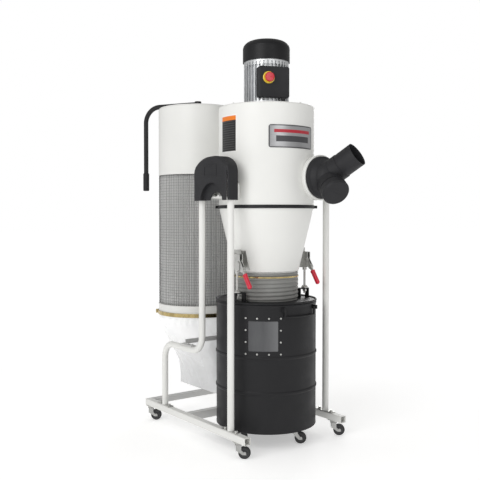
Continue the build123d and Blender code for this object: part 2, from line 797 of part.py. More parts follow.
def lid():
    """Flat lid with a rolled rim, a collar for the hose and two strap bridges."""
    disc = lathe([
        (LID_HOLE_R, LID_Z),
        (DRUM_R + 1.5, LID_Z),
        (DRUM_R + 3.5, LID_Z + 2),
        (DRUM_R + 3.5, LID_Z + 6),
        (DRUM_R + 1, LID_Z + 8),
        (DRUM_R - 3, LID_Z + 7),
        (DRUM_R - 5, LID_Z + LID_T),
        (LID_HOLE_R + 3.5, LID_Z + LID_T),
        (LID_HOLE_R + 3.5, 636),
        (LID_HOLE_R, 636),
    ])
    z0 = LID_Z + LID_T
    bridge = block(-38, 17.5, -12, 12, z0, LIFT_TOP)
    bridge = fillet(bridge.edges().filter_by(Axis.Y).group_by(Axis.Z)[-1], 5.0)
    bridge -= block(-32, 12.5, -13, 13, z0 - 1, LIFT_TOP - 5)
    bridge -= rod(LIFT_ROD_R, z0, LIFT_TOP + 1)
    bridge = at(LIFT_X, LIFT_Y, 0, bridge) & rod(DRUM_R - 5.2, 500, 700)
    return Compound([disc, bridge, mirrored(bridge)])


def lift_rods():
    """Threaded rod with its nuts and cone, through each of the lid's bridges."""
    stud = rod(LIFT_ROD_R, LIFT_TOP - 24, STUD_TOP)
    stud += at(0, 0, LIFT_TOP - 15, extrude(RegularPolygon(9.5, 6), 9.9))
    stud += at(0, 0, LIFT_TOP, lathe([(0, 0), (15, 0), (15, 2.5), (9, 11), (0, 11)]))
    return both_sides(at(LIFT_X, LIFT_Y, 0, stud))


# ---------------------------------------------------------------- clamps
def clamp_bracket():
    """Plate off the cone with a curved flange, the two ears of the lever and the rod's guide."""
    def cone_at(z):
        return CONE_R + (BARREL_R - 1 - CONE_R) * (z - CONE_Z) / (BAND_Z - 1 - CONE_Z)

    cone = lathe([(0, CONE_Z), (cone_at(CONE_Z), CONE_Z), (cone_at(900), 900), (0, 900)])
    skin = lathe([(0, CONE_Z), (cone_at(CONE_Z) + 2.5, CONE_Z), (cone_at(900) + 2.5, 900), (0, 900)])
    body = block(120, 198, -31, -27, 738, 826)
    body += skin & block(120, 198, -55, -3, 742, 822)
    for side in (-1, 1):
        ear = block(side * 8 - 1.5, side * 8 + 1.5, -30, 14, 742, 808)
        body += at(LIFT_X, LIFT_Y + 4, 0, ear)
    body -= cone
    body += Pos(LIFT_X, PIVOT_Y, PIVOT_Z) * Rot(0, 90, 0) * Cylinder(4.0, 26)
    lip = ring(9.5, LIFT_ROD_R + 0.1, 728, 742)
    lip += block(-9.5, 9.5, -20, 14, 740, 743) - rod(9, 700, 760)
    return body + at(LIFT_X, LIFT_Y, 0, lip)


def lever_shape():
    """Forked lever about the pivot, built along -Z and then tilted to the front."""
    cheek = block(-6.2, 6.2, -9, 9, -48, 11)
    cheek = fillet(cheek.edges().filter_by(Axis.X), 6.0)
    cheek -= block(-3.2, 3.2, -20, 20, -30, 20)
    cheek -= Rot(0, 90, 0) * Cylinder(4.05, 40)
    shank = at(0, 0, -(48 + LEVER_LEN - 20) / 2, Box(8, 10, LEVER_LEN - 20 - 46))
    return cheek + shank


def place_lever(shape):
    return Pos(LIFT_X, PIVOT_Y, PIVOT_Z) * Rot(-LEVER_TILT, 0, 0) * shape


def grip_shape():
    body = at(0, 0, -(62 + LEVER_LEN) / 2, Box(17, 21, LEVER_LEN - 62))
    body = fillet(body.edges().filter_by(Axis.Z), 7.5)
    body = fillet(body.edges().group_by(Axis.Z)[0], 5.0)
    return body - at(0, 0, -(48 + LEVER_LEN - 20) / 2, Box(8, 10, LEVER_LEN - 20 - 46))


# ---------------------------------------------------------------- drum
def drum():
    w = DRUM_WALL
    chime = DRUM_R + 0.5
    outer = [(0, DRUM_Z), (DRUM_R - 4, DRUM_Z)]
    outer += [(chime, DRUM_Z + 2), (chime, DRUM_Z + 9), (DRUM_R, DRUM_Z + 12)]
    inner = [(0, DRUM_Z + 6), (DRUM_R - w, DRUM_Z + 6)]
    for z in HOOP_Z:
        for dr, dz in ((0, -8), (HOOP_RISE, -3), (HOOP_RISE, 3), (0, 8)):
            outer.append((DRUM_R + dr, z + dz))
            inner.append((DRUM_R + dr - w, z + dz))
    outer += [(DRUM_R + dr, DRUM_TOP + dz) for dr, dz in ((0, -12), (2, -8), (2, -2), (0, 0))]
    inner += [(DRUM_R + dr, DRUM_TOP + dz) for dr, dz in ((-w, -14), (-6, -12), (-6, 0))]
    shell = lathe(outer + inner[::-1])
    cut = Box(2 * WINDOW_HALF, 30, 2 * WINDOW_HALF)
    cut = fillet(cut.edges().filter_by(Axis.Y), 4.0)
    return shell - facing(WINDOW_AZ, DRUM_R, WINDOW_Z, cut)


def drum_window():
    r = DRUM_R - DRUM_WALL
    return ring(r, r - 3, WINDOW_Z - 100, WINDOW_Z + 100) & facing(
        WINDOW_AZ, DRUM_R, WINDOW_Z, Box(2 * SCREW_HALF + 16, 60, 2 * SCREW_HALF + 16)
    )


def window_screws():
    """Screws all round the window, four along each side."""
    screws = []
    steps = (-1.0, -1.0 / 3, 1.0 / 3, 1.0)
    half_angle = degrees(SCREW_HALF / DRUM_R)
    for i, across in enumerate(steps):
        for j, up in enumerate(steps):
            if i in (0, 3) or j in (0, 3):
                height = WINDOW_Z + up * SCREW_HALF
                az = WINDOW_AZ + across * half_angle
                screws.append(facing(az, DRUM_R, height, dome_screw(4.2, 2.8)))
    return screws


def handle_end(side, radius, z):
    a = radians(HANDLE_HALF)
    return Vector(side * radius * sin(a), -radius * cos(a), z)


def handle_lugs():
    """The two ears on the drum that hold the handle's pins."""
    lugs = []
    for side in (-1, 1):
        pivot = handle_end(side, HANDLE_PIVOT_R, HANDLE_Z)
        lug = Pos(pivot.X + side * 8.5, pivot.Y + 5, HANDLE_Z) * Box(8, 24, 16)
        lug -= Pos(pivot.X, pivot.Y, HANDLE_Z) * Rot(0, 90, 0) * Cylinder(HANDLE_ROD + 0.1, 60)
        lug = Rot(0, 0, HANDLE_AZ) * lug
        lugs.append(lug - rod(DRUM_R, 500, 640))
    return lugs


def drum_handle():
    """Bent rod that hangs against the drum from its two turned-out ends."""
    reach = DRUM_R + 7
    left = handle_end(-1, reach, HANDLE_Z - HANDLE_DROP)
    right = handle_end(1, reach, HANDLE_Z - HANDLE_DROP)
    bow = ThreePointArc(left, (0, -reach, HANDLE_Z - HANDLE_DROP), right)
    body = sweep(Plane(origin=left, z_dir=bow % 0) * Circle(HANDLE_ROD), path=bow)
    for side, low in ((-1, left), (1, right)):
        pivot = handle_end(side, HANDLE_PIVOT_R, HANDLE_Z)
        body += round_rod(low, pivot, HANDLE_ROD)
        body += Pos(*low) * Sphere(HANDLE_ROD)
        body += Pos(*pivot) * Sphere(HANDLE_ROD)
        body += round_rod(pivot, pivot + Vector(side * 14, 0, 0), HANDLE_ROD)
    return Rot(0, 0, HANDLE_AZ) * body


# ---------------------------------------------------------------- casters
def caster_top(z):
    """Fork with its race, bearing cap, stem and axle; the top race stands still above height z."""
    fork = at(0, 0, z - 5, lathe([(0, 0), (15, 0), (15, 3), (11, 4.6), (0, 4.6)]))
    for side in (-1, 1):
        cheek = block(-11, 11, side * 11.2 - 1.2, side * 11.2 + 1.2, z - 26, z - 3)
        fork += cheek
        low = WHEEL_R - 7
        corners = [(-11, 0, z - 24), (11, 0, z - 24), (TRAIL + 8, 0, low), (TRAIL - 8, 0, low)]
        leg = extrude(make_face(Polyline(*corners, close=True)), 2.4, dir=(0, 1, 0))
        fork += at(0, side * 11.2 - 1.2, 0, leg)
    fork += block(-11, 11, -12, 12, z - 6, z - 3)
    fork += at(TRAIL, 0, WHEEL_R, Rot(90, 0, 0) * Cylinder(AXLE_R, 27))
    for side in (-1, 1):
        head = Rot(90, 0, 0) * Cylinder(6.5, 3)
        fork += at(TRAIL, side * 13.4, WHEEL_R, head)
    return fork


def caster_wheel():
    profile = [
        (AXLE_R + 0.05, -WHEEL_W / 2),
        (11, -WHEEL_W / 2),
        (11.5, -WHEEL_W / 2 + 2),
        (18, -WHEEL_W / 2 + 2.5),
        (22, -WHEEL_W / 2 + 0.8),
        (24, -WHEEL_W / 2 + 1.8),
        (WHEEL_R, -WHEEL_W / 2 + 4.5),
    ]
    profile += [(r, -z) for r, z in reversed(profile)]
    return at(TRAIL, 0, WHEEL_R, Rot(90, 0, 0) * lathe(profile))


def caster_plate(x, y, z_top, size):
    plate = at(x, y, z_top - 1.25, Box(size, size * 1.5, 2.5))
    race = at(x, y, z_top - 4.2, Cylinder(16, 3.4))
    return plate + race


def place_caster(shape, x, y):
    return Pos(x, y, 0) * Rot(0, 0, TRAIL_AZ - 90) * shape


def drum_caster_xy(az):
    a = radians(az)
    return DRUM_CASTER_R * sin(a), -DRUM_CASTER_R * cos(a)


# ---------------------------------------------------------------- assembly
def build():
    rail = base_rail()
    NODES["base_rail_right"] = rail
    NODES["base_rail_left"] = mirrored(rail)
    members = [angle_member(RAIL_REAR - MEMBER_D, False), angle_member(MID_MEMBER_Y, True), cross_bar()]
    NODES["cross_members"] = Compound(members)
    frame = side_frame()
    NODES["side_frame_right"] = frame
    NODES["side_frame_left"] = mirrored(frame)
    plates = [frame_fasteners()]
    for x, y in BASE_CASTERS.values():
        plates.append(caster_plate(x, y, RAIL_Z, 30))
    NODES["frame_fasteners"] = Compound(plates)
    cover = top_cover()
    NODES["top_cover_right"] = cover
    NODES["top_cover_left"] = mirrored(cover)
    NODES["hanger_brackets"] = both_sides(hanger())

    NODES["cyclone_barrel"] = cyclone_barrel()
    NODES["inlet_duct"] = inlet_duct()
    NODES["cyclone_cone"] = cyclone_cone()
    NODES["cone_band"] = cone_band()
    NODES["vortex_deck"] = vortex_deck()
    NODES["motor_plate"] = motor_plate()
    NODES["outlet_duct"] = outlet_duct()
    NODES["nameplate"] = nameplate()
    NODES["label"] = label()
    NODES["inlet_adapter"] = inlet_adapter()
    NODES["port_cap"] = port_cap()

    NODES["motor_body"] = motor_body()
    NODES["fan_cover"] = fan_cover()
    NODES["switch_box"] = switch_box()
    NODES["switch_ring"] = switch_ring()
    NODES["stop_button"] = stop_button()
    NODES["motor_rotor"] = motor_rotor()
    NODES["impeller"] = impeller()

    NODES["filter_housing"] = filter_housing()
    NODES["filter_medium"] = filter_medium()
    NODES["filter_cage"] = filter_cage()
    NODES["filter_base_ring"] = filter_base_ring()
    bag_band = at(0, FILTER_Y, 0, band_clamp(FILTER_R + 4.2, BAG_BAND_Z, 18, -126))
    hose_band = band_clamp(HOSE_R, 709, 6, 150)
    NODES["band_clamps"] = Compound([bag_band, hose_band])
    NODES["collection_bag"] = collection_bag()
    NODES["filter_crank"] = filter_crank()

    NODES["flex_hose"] = flex_hose()
    NODES["lid"] = lid()
    NODES["lift_rods"] = lift_rods()
    NODES["clamp_brackets"] = both_sides(clamp_bracket())
    lever = place_lever(lever_shape())
    NODES["lever_right"] = lever
    NODES["lever_left"] = mirrored(lever)
    grip = place_lever(grip_shape())
    NODES["grip_right"] = grip
    NODES["grip_left"] = mirrored(grip)

    fittings = handle_lugs()
    for az in DRUM_CASTERS.values():
        x, y = drum_caster_xy(az)
        fittings.append(caster_plate(x, y, DRUM_Z, 34))
    NODES["drum"] = Compound([drum()] + fittings)
    NODES["drum_window"] = drum_window()
    NODES["window_screws"] = Compound(window_screws())
    NODES["drum_handle"] = drum_handle()

    base_fork = caster_top(RAIL_Z - 6)
    wheel = caster_wheel()
    for key, (x, y) in BASE_CASTERS.items():
        NODES[f"caster_fork_{key}"] = place_caster(base_fork, x, y)
        NODES[f"caster_wheel_{key}"] = place_caster(wheel, x, y)
    drum_fork = caster_top(DRUM_Z - 6)
    for key, az in DRUM_CASTERS.items():
        x, y = drum_caster_xy(az)
        NODES[f"drum_fork_{key}"] = place_caster(drum_fork, x, y)
        NODES[f"drum_wheel_{key}"] = place_caster(wheel, x, y)


def main():
    build()
    os.makedirs("parts", exist_ok=True)
    box = Compound(list(NODES.values())).bounding_box()
    shift = Vector(-(box.min.X + box.max.X) / 2, -(box.min.Y + box.max.Y) / 2, -box.min.Z)
    for name, shape in NODES.items():
        moved = Pos(*shift) * shape
        export_step(moved, f"parts/{name}.step")
        size = moved.bounding_box().size
        print(name, round(size.X, 1), round(size.Y, 1), round(size.Z, 1), round(shape.volume / 1000, 1))
    print("shift", shift, "overall", box.size, "nodes", len(NODES))


main()
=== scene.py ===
import json
from math import asin, cos, exp, pi, radians, sin, sqrt

import bpy
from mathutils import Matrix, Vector, noise


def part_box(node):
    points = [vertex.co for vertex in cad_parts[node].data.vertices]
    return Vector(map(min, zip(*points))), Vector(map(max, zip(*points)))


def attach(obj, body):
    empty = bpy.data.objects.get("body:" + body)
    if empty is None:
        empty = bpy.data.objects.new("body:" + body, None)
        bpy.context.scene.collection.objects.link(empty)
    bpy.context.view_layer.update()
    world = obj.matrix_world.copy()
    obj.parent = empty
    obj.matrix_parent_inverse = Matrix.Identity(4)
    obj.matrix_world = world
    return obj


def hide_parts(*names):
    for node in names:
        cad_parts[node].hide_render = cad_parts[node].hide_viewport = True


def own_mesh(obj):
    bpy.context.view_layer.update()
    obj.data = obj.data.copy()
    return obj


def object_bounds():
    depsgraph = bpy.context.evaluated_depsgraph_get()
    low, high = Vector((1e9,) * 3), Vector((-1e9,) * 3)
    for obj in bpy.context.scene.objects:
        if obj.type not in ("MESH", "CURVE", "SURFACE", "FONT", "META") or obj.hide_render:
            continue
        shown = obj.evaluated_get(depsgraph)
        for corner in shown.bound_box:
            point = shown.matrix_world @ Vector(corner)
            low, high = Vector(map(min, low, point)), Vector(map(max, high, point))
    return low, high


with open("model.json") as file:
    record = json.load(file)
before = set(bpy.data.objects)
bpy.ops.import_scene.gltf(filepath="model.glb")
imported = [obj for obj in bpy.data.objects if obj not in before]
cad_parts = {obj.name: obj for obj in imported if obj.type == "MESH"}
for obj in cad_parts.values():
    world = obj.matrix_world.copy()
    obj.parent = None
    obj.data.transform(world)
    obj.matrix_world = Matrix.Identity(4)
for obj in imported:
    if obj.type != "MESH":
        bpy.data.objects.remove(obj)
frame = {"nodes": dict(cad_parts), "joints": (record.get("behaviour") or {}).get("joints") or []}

CAD_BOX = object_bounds()
NODES = frame["nodes"]
JOINTS = {joint["name"]: joint for joint in frame["joints"]}

# Camera, from the middle of the machine, in metres and degrees
CAMERA_OFFSET = Vector((-1.9547, -2.5991, 0.1020))
CAMERA_YAW = 36.5
CAMERA_PITCH = -1.5
CAMERA_LENS = 53.55
CAMERA_SHIFT = (0.0125, -0.0079)

# Brightness of the surroundings as they light the machine, and as the camera sees them
WORLD_LIGHT = 0.46
WORLD_SEEN = 1.0

# Floor: half its width, and where it starts and ends its fade to plain white
FLOOR_REACH = 40.0
FADE_START = 0.75
FADE_END = 1.9

# Soft lights: name, azimuth, distance, height, width, height of the panel, power
LIGHTS = (
    ("key", -68, 3.4, 2.3, 1.8, 2.6, 52),
    ("front", -8, 3.6, 2.2, 1.6, 1.6, 12),
    ("rim", 125, 3.2, 2.0, 1.2, 2.4, 26),
)

# Hose ribs, filter pleats and the film's thickness
HOSE_RIBS = 7
HOSE_RIB_DEPTH = 0.0042
HOSE_WALL = 0.0014
PLEATS = 132
PLEAT_DEPTH = 0.012
PLEAT_WALL = 0.0012
BAG_WALL = 0.0006


def middle_of(node):
    low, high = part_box(node)
    return (low + high) / 2


CYCLONE = middle_of("cyclone_barrel")
FILTER = middle_of("filter_housing")


# ---------------------------------------------------------------- camera, lights and floor
def make_camera():
    low, high = CAD_BOX
    data = bpy.data.cameras.new("camera")
    data.lens = CAMERA_LENS
    data.shift_x, data.shift_y = CAMERA_SHIFT
    data.clip_end = 100
    camera = bpy.data.objects.new("camera", data)
    bpy.context.scene.collection.objects.link(camera)
    yaw, pitch = radians(CAMERA_YAW), radians(CAMERA_PITCH)
    gaze = Vector((sin(yaw) * cos(pitch), cos(yaw) * cos(pitch), sin(pitch)))
    camera.location = (low + high) / 2 + CAMERA_OFFSET
    camera.rotation_euler = gaze.to_track_quat("-Z", "Y").to_euler()
    bpy.context.scene.camera = camera


def softbox(name, azimuth, distance, height, width, tall, power):
    """Area light that looks at the machine's middle; azimuth 0 is in front, positive to the right."""
    data = bpy.data.lights.new(name, "AREA")
    data.shape = "RECTANGLE"
    data.size = width
    data.size_y = tall
    data.energy = power
    light = bpy.data.objects.new(name, data)
    bpy.context.scene.collection.objects.link(light)
    a = radians(azimuth)
    target = Vector((0, 0, 0.95))
    light.location = Vector((distance * sin(a), -distance * cos(a), height))
    light.rotation_euler = (target - light.location).to_track_quat("-Z", "Y").to_euler()


def make_world():
    world = bpy.data.worlds.new("studio")
    bpy.context.scene.world = world
    world.use_nodes = True
    tree = world.node_tree
    tree.nodes.clear()
    out = tree.nodes.new("ShaderNodeOutputWorld")
    seen = tree.nodes.new("ShaderNodeBackground")
    seen.inputs["Color"].default_value = (1, 1, 1, 1)
    seen.inputs["Strength"].default_value = WORLD_SEEN
    lighting = tree.nodes.new("ShaderNodeBackground")
    lighting.inputs["Color"].default_value = (1.0, 0.995, 0.985, 1)
    lighting.inputs["Strength"].default_value = WORLD_LIGHT
    ray = tree.nodes.new("ShaderNodeLightPath")
    mix = tree.nodes.new("ShaderNodeMixShader")
    tree.links.new(ray.outputs["Is Camera Ray"], mix.inputs[0])
    tree.links.new(lighting.outputs[0], mix.inputs[1])
    tree.links.new(seen.outputs[0], mix.inputs[2])
    tree.links.new(mix.outputs[0], out.inputs[0])


def make_floor():
    size = FLOOR_REACH
    corners = [(-size, -size, 0), (size, -size, 0), (size, size, 0), (-size, size, 0)]
    mesh = bpy.data.meshes.new("floor")
    mesh.from_pydata(corners, [], [(0, 1, 2, 3)])
    floor = bpy.data.objects.new("floor", mesh)
    bpy.context.scene.collection.objects.link(floor)
    nodes = Nodes("floor")
    place = nodes.place()
    grain = nodes.noise(place, 2.5, 3)
    reach = nodes.add("VectorMath")
    reach.operation = "LENGTH"
    nodes.link(place, reach.inputs[0])
    far = nodes.between(reach.outputs["Value"], FADE_START, FADE_END)
    near_tone = nodes.blend(grain, (0.86, 0.86, 0.855), (0.90, 0.90, 0.895))
    nodes.colour(nodes.blend(far, near_tone, (0, 0, 0)))
    nodes.shader.inputs["Emission Color"].default_value = (1, 1, 1, 1)
    glow = nodes.sum("ADD", 0.40, nodes.sum("MULTIPLY", far, 0.62))
    nodes.put(nodes.shader.inputs["Emission Strength"], glow)
    nodes.shader.inputs["Roughness"].default_value = 0.75
    nodes.shader.inputs["Specular IOR Level"].default_value = 0.0
    mesh.materials.append(nodes.material)


# ---------------------------------------------------------------- materials
class Nodes:
    """A material with one Principled shader, and short calls that add nodes to it."""

    def __init__(self, name):
        self.material = bpy.data.materials.new(name)
        self.material.use_nodes = True
        self.tree = self.material.node_tree
        self.tree.nodes.clear()
        out = self.tree.nodes.new("ShaderNodeOutputMaterial")
        self.shader = self.add("BsdfPrincipled")
        self.link(self.shader.outputs[0], out.inputs["Surface"])

    def add(self, kind, **inputs):
        node = self.tree.nodes.new("ShaderNode" + kind)
        for name, value in inputs.items():
            self.put(node.inputs[name], value)
        return node

    def link(self, out, into):
        self.tree.links.new(out, into)

    def put(self, socket, value):
        if isinstance(value, bpy.types.NodeSocket):
            self.link(value, socket)
        elif isinstance(value, (tuple, list)) and len(value) == 3 and len(socket.default_value) == 4:
            socket.default_value = (*value, 1)
        else:
            socket.default_value = value

    def place(self, scale=(1, 1, 1), shift=(0, 0, 0)):
        """Object coordinates, in metres."""
        coordinates = self.add("TexCoord")
        mapping = self.add("Mapping", Vector=coordinates.outputs["Object"], Scale=scale, Location=shift)
        return mapping.outputs[0]

    def noise(self, vector, scale, detail=2.0, rough=0.5):
        node = self.add("TexNoise", Vector=vector, Scale=scale, Detail=detail, Roughness=rough)
        return node.outputs["Fac"]

    def cells(self, vector, scale):
        return self.add("TexVoronoi", Vector=vector, Scale=scale).outputs["Distance"]

    def axis(self, vector, letter):
        return self.add("SeparateXYZ", Vector=vector).outputs[letter]

    def sum(self, kind, a, b=0.0):
        node = self.add("Math")
        node.operation = kind
        self.put(node.inputs[0], a)
        self.put(node.inputs[1], b)
        return node.outputs[0]

    def between(self, value, low, high, out_low=0.0, out_high=1.0):
        """Value spread from low..high to out_low..out_high, clamped."""
        node = self.add("MapRange")
        self.put(node.inputs["Value"], value)
        ends = {"From Min": low, "From Max": high, "To Min": out_low, "To Max": out_high}
        for name, number in ends.items():
            node.inputs[name].default_value = number
        return node.outputs[0]

    def blend(self, share, a, b):
        node = self.add("Mix")
        node.data_type = "RGBA"
        self.put(node.inputs[0], share)
        self.put(node.inputs[6], a)
        self.put(node.inputs[7], b)
        return node.outputs[2]

    def colour(self, value):
        self.put(self.shader.inputs["Base Color"], value)

    def rough(self, value):
        self.put(self.shader.inputs["Roughness"], value)

    def relief(self, height, depth, normal=None):
        """Bump of the given depth in metres."""
        node = self.add("Bump", Height=height, Strength=1.0, Distance=depth)
        if normal is not None:
            self.link(normal, node.inputs["Normal"])
        self.link(node.outputs[0], self.shader.inputs["Normal"])

    def soft_edges(self, radius):
        node = self.add("Bevel", Radius=radius)
        node.samples = 4
        return node.outputs[0]

    def edge_share(self, radius):
        """Near 1 where an edge turns sharply within the radius, and 0 on open faces."""
        rounded = self.add("Bevel", Radius=radius)
        rounded.samples = 4
        flat = self.add("NewGeometry")
        dot = self.add("VectorMath")
        dot.operation = "DOT_PRODUCT"
        self.link(rounded.outputs[0], dot.inputs[0])
        self.link(flat.outputs["Normal"], dot.inputs[1])
        return self.between(dot.outputs["Value"], 0.99, 0.80)


def painted(name, base, roughness, mottle=0.05, peel=0.00006, worn=0.35, worn_tone=None, shine=0.5):
    """Powder coat: orange peel, a faint mottle, and edges rubbed a little."""
    nodes = Nodes(name)
    place = nodes.place()
    cloud = nodes.noise(place, 3.0, 4)
    fine = nodes.noise(place, 55.0, 5, 0.6)
    darker = tuple(c * (1 - mottle) for c in base)
    tone = nodes.blend(nodes.between(cloud, 0.35, 0.65), base, darker)
    rub = nodes.sum("MULTIPLY", nodes.edge_share(0.0016), nodes.between(fine, 0.48, 0.62, 0, worn))
    nodes.colour(nodes.blend(rub, tone, worn_tone or tuple(c * 0.72 for c in base)))
    nodes.rough(nodes.between(nodes.noise(place, 18.0, 4), 0.3, 0.7, roughness - 0.05, roughness + 0.07))
    nodes.shader.inputs["Specular IOR Level"].default_value = shine
    nodes.relief(nodes.noise(place, 420.0, 3), peel, nodes.soft_edges(0.0008))
    return nodes.material


def moulded(name, base, roughness, grain_scale, depth, coat=0.0, shine=0.5):
    """Moulded plastic with a fine grain."""
    nodes = Nodes(name)
    place = nodes.place()
    cloud = nodes.noise(place, 6.0, 3)
    scuff = nodes.noise(nodes.place(scale=(1, 1, 6)), 30.0, 5, 0.65)
    lighter = tuple(min(1, c * 1.22 + 0.004) for c in base)
    tone = nodes.blend(nodes.between(cloud, 0.35, 0.65), base, lighter)
    edge = nodes.sum("MULTIPLY", nodes.edge_share(0.0012), nodes.between(scuff, 0.42, 0.62, 0, 0.5))
    nodes.colour(nodes.blend(edge, tone, tuple(min(1, c * 1.7 + 0.02) for c in base)))
    nodes.rough(nodes.between(scuff, 0.3, 0.7, roughness - 0.06, roughness + 0.08))
    nodes.shader.inputs["Coat Weight"].default_value = coat
    nodes.shader.inputs["Specular IOR Level"].default_value = shine
    nodes.relief(nodes.cells(place, grain_scale), depth, nodes.soft_edges(0.0008))
    return nodes.material


def bare_metal(name, base, roughness, grain=(1, 1, 1), scale=220.0, depth=0.00003, spangle=0.12):
    """Bright metal whose grain is stretched along one axis."""
    nodes = Nodes(name)
    nodes.shader.inputs["Metallic"].default_value = 1.0
    place = nodes.place()
    patches = nodes.noise(place, 38.0, 3)
    streaks = nodes.noise(nodes.place(scale=grain), scale, 4, 0.6)
    darker = tuple(c * (1 - spangle) for c in base)
    nodes.colour(nodes.blend(nodes.between(patches, 0.35, 0.65), base, darker))
    nodes.rough(nodes.between(streaks, 0.3, 0.7, roughness - 0.07, roughness + 0.1))
    nodes.relief(streaks, depth, nodes.soft_edges(0.0006))
    return nodes.material


def nameplate_metal():
    """Brushed plate with a dark line round it, a red bar and a dark bar, and nothing written on it."""
    nodes = Nodes("nameplate_brushed")
    low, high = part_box("nameplate")
    place = nodes.place()
    streaks = nodes.noise(nodes.place(scale=(6, 6, 420)), 3.0, 5, 0.65)
    radius = CYCLONE.y - low.y
    half_turn = (asin((high.x - CYCLONE.x) / radius) - asin((low.x - CYCLONE.x) / radius)) / 2
    mid_turn = asin((high.x - CYCLONE.x) / radius) - half_turn
    x = nodes.sum("SUBTRACT", nodes.axis(place, "X"), CYCLONE.x)
    y = nodes.sum("SUBTRACT", CYCLONE.y, nodes.axis(place, "Y"))
    turn = nodes.sum("SUBTRACT", nodes.sum("ARCTAN2", x, y), mid_turn)
    along = nodes.sum("ABSOLUTE", nodes.sum("MULTIPLY", turn, radius))
    rise = nodes.sum("SUBTRACT", nodes.axis(place, "Z"), (low.z + high.z) / 2)
    half_long, half_tall = half_turn * radius, (high.z - low.z) / 2

    def bar(middle, tall, long):
        off = nodes.sum("ABSOLUTE", nodes.sum("SUBTRACT", rise, middle))
        inside = nodes.between(off, tall / 2 + 0.0004, tall / 2 - 0.0004)
        return nodes.sum("MULTIPLY", inside, nodes.between(along, long / 2 + 0.0004, long / 2 - 0.0004))

    border = nodes.sum(
        "MAXIMUM",
        nodes.between(nodes.sum("ABSOLUTE", rise), half_tall - 0.0050, half_tall - 0.0040),
        nodes.between(along, half_long - 0.0050, half_long - 0.0040),
    )
    brushed = nodes.blend(nodes.between(streaks, 0.3, 0.7), (0.52, 0.52, 0.53), (0.38, 0.38, 0.39))
    red = bar(0.021, 0.013, 2 * half_long - 0.044)
    dark = bar(-0.010, 0.024, 2 * half_long - 0.060)
    printed = nodes.blend(dark, nodes.blend(red, brushed, (0.42, 0.015, 0.03)), (0.05, 0.05, 0.055))
    nodes.colour(nodes.blend(border, printed, (0.14, 0.14, 0.145)))
    ink = nodes.sum("MAXIMUM", red, dark)
    nodes.put(nodes.shader.inputs["Metallic"], nodes.between(ink, 0, 1, 1.0, 0.0))
    nodes.rough(nodes.between(streaks, 0.3, 0.7, 0.28, 0.44))
    nodes.relief(streaks, 0.00004, nodes.soft_edges(0.0006))
    return nodes.material


def label_film():
    """Printed film: white margin, orange head and a black field with plain ruled lines."""
    nodes = Nodes("label_print")
    low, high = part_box("label")
    place = nodes.place()
    y, z = nodes.axis(place, "Y"), nodes.axis(place, "Z")
    across = nodes.sum("ABSOLUTE", nodes.sum("SUBTRACT", y, (low.y + high.y) / 2))
    upright = nodes.sum("ABSOLUTE", nodes.sum("SUBTRACT", z, (low.z + high.z) / 2))
    margin = nodes.sum(
        "MAXIMUM",
        nodes.between(across, (high.y - low.y) / 2 - 0.0052, (high.y - low.y) / 2 - 0.0048),
        nodes.between(upright, (high.z - low.z) / 2 - 0.0052, (high.z - low.z) / 2 - 0.0048),
    )
    head = nodes.between(z, high.z - 0.0232, high.z - 0.0228)
    rule = nodes.sum("FRACT", nodes.sum("MULTIPLY", nodes.sum("SUBTRACT", z, low.z), 1 / 0.0095))
    line = nodes.between(nodes.sum("ABSOLUTE", nodes.sum("SUBTRACT", rule, 0.5)), 0.13, 0.10)
    inside = nodes.between(across, (high.y - low.y) / 2 - 0.011, (high.y - low.y) / 2 - 0.0115)
    ruled = nodes.sum("MULTIPLY", line, inside)
    field = nodes.blend(ruled, (0.010, 0.010, 0.011), (0.075, 0.075, 0.075))
    print_ = nodes.blend(head, field, (0.80, 0.20, 0.015))
    nodes.colour(nodes.blend(margin, print_, (0.82, 0.82, 0.80)))
    nodes.rough(nodes.between(nodes.noise(place, 40.0, 3), 0.3, 0.7, 0.28, 0.4))
    nodes.relief(nodes.noise(place, 300.0, 2), 0.00002)
    return nodes.material


def pleat_cloth():
    """Spun filter cloth: fibre, and painted shade down in the pleat valleys."""
    nodes = Nodes("filter_cloth")
    fibre = nodes.noise(nodes.place(scale=(1, 1, 0.25)), 900.0, 4, 0.7)
    cloud = nodes.noise(nodes.place(scale=(1, 1, 0.35)), 7.0, 4)
    offset = nodes.add("VectorMath")
    offset.operation = "SUBTRACT"
    nodes.put(offset.inputs[0], nodes.place(scale=(1, 1, 0)))
    offset.inputs[1].default_value = (FILTER.x, FILTER.y, 0)
    length = nodes.add("VectorMath")
    length.operation = "LENGTH"
    nodes.link(offset.outputs[0], length.inputs[0])
    # Darker where the cloth lies below the crests: painted shade in the pleat valleys.
    crest = nodes.between(length.outputs["Value"], 0.174, 0.184)
    unshaded_cloth = nodes.blend(nodes.between(cloud, 0.35, 0.65), (0.80, 0.80, 0.79), (0.72, 0.72, 0.71))
    nodes.colour(nodes.blend(crest, (0.56, 0.56, 0.555), unshaded_cloth))
    nodes.rough(nodes.between(fibre, 0.3, 0.7, 0.85, 0.98))
    nodes.shader.inputs["Sheen Weight"].default_value = 0.25
    nodes.relief(fibre, 0.0002)
    return nodes.material


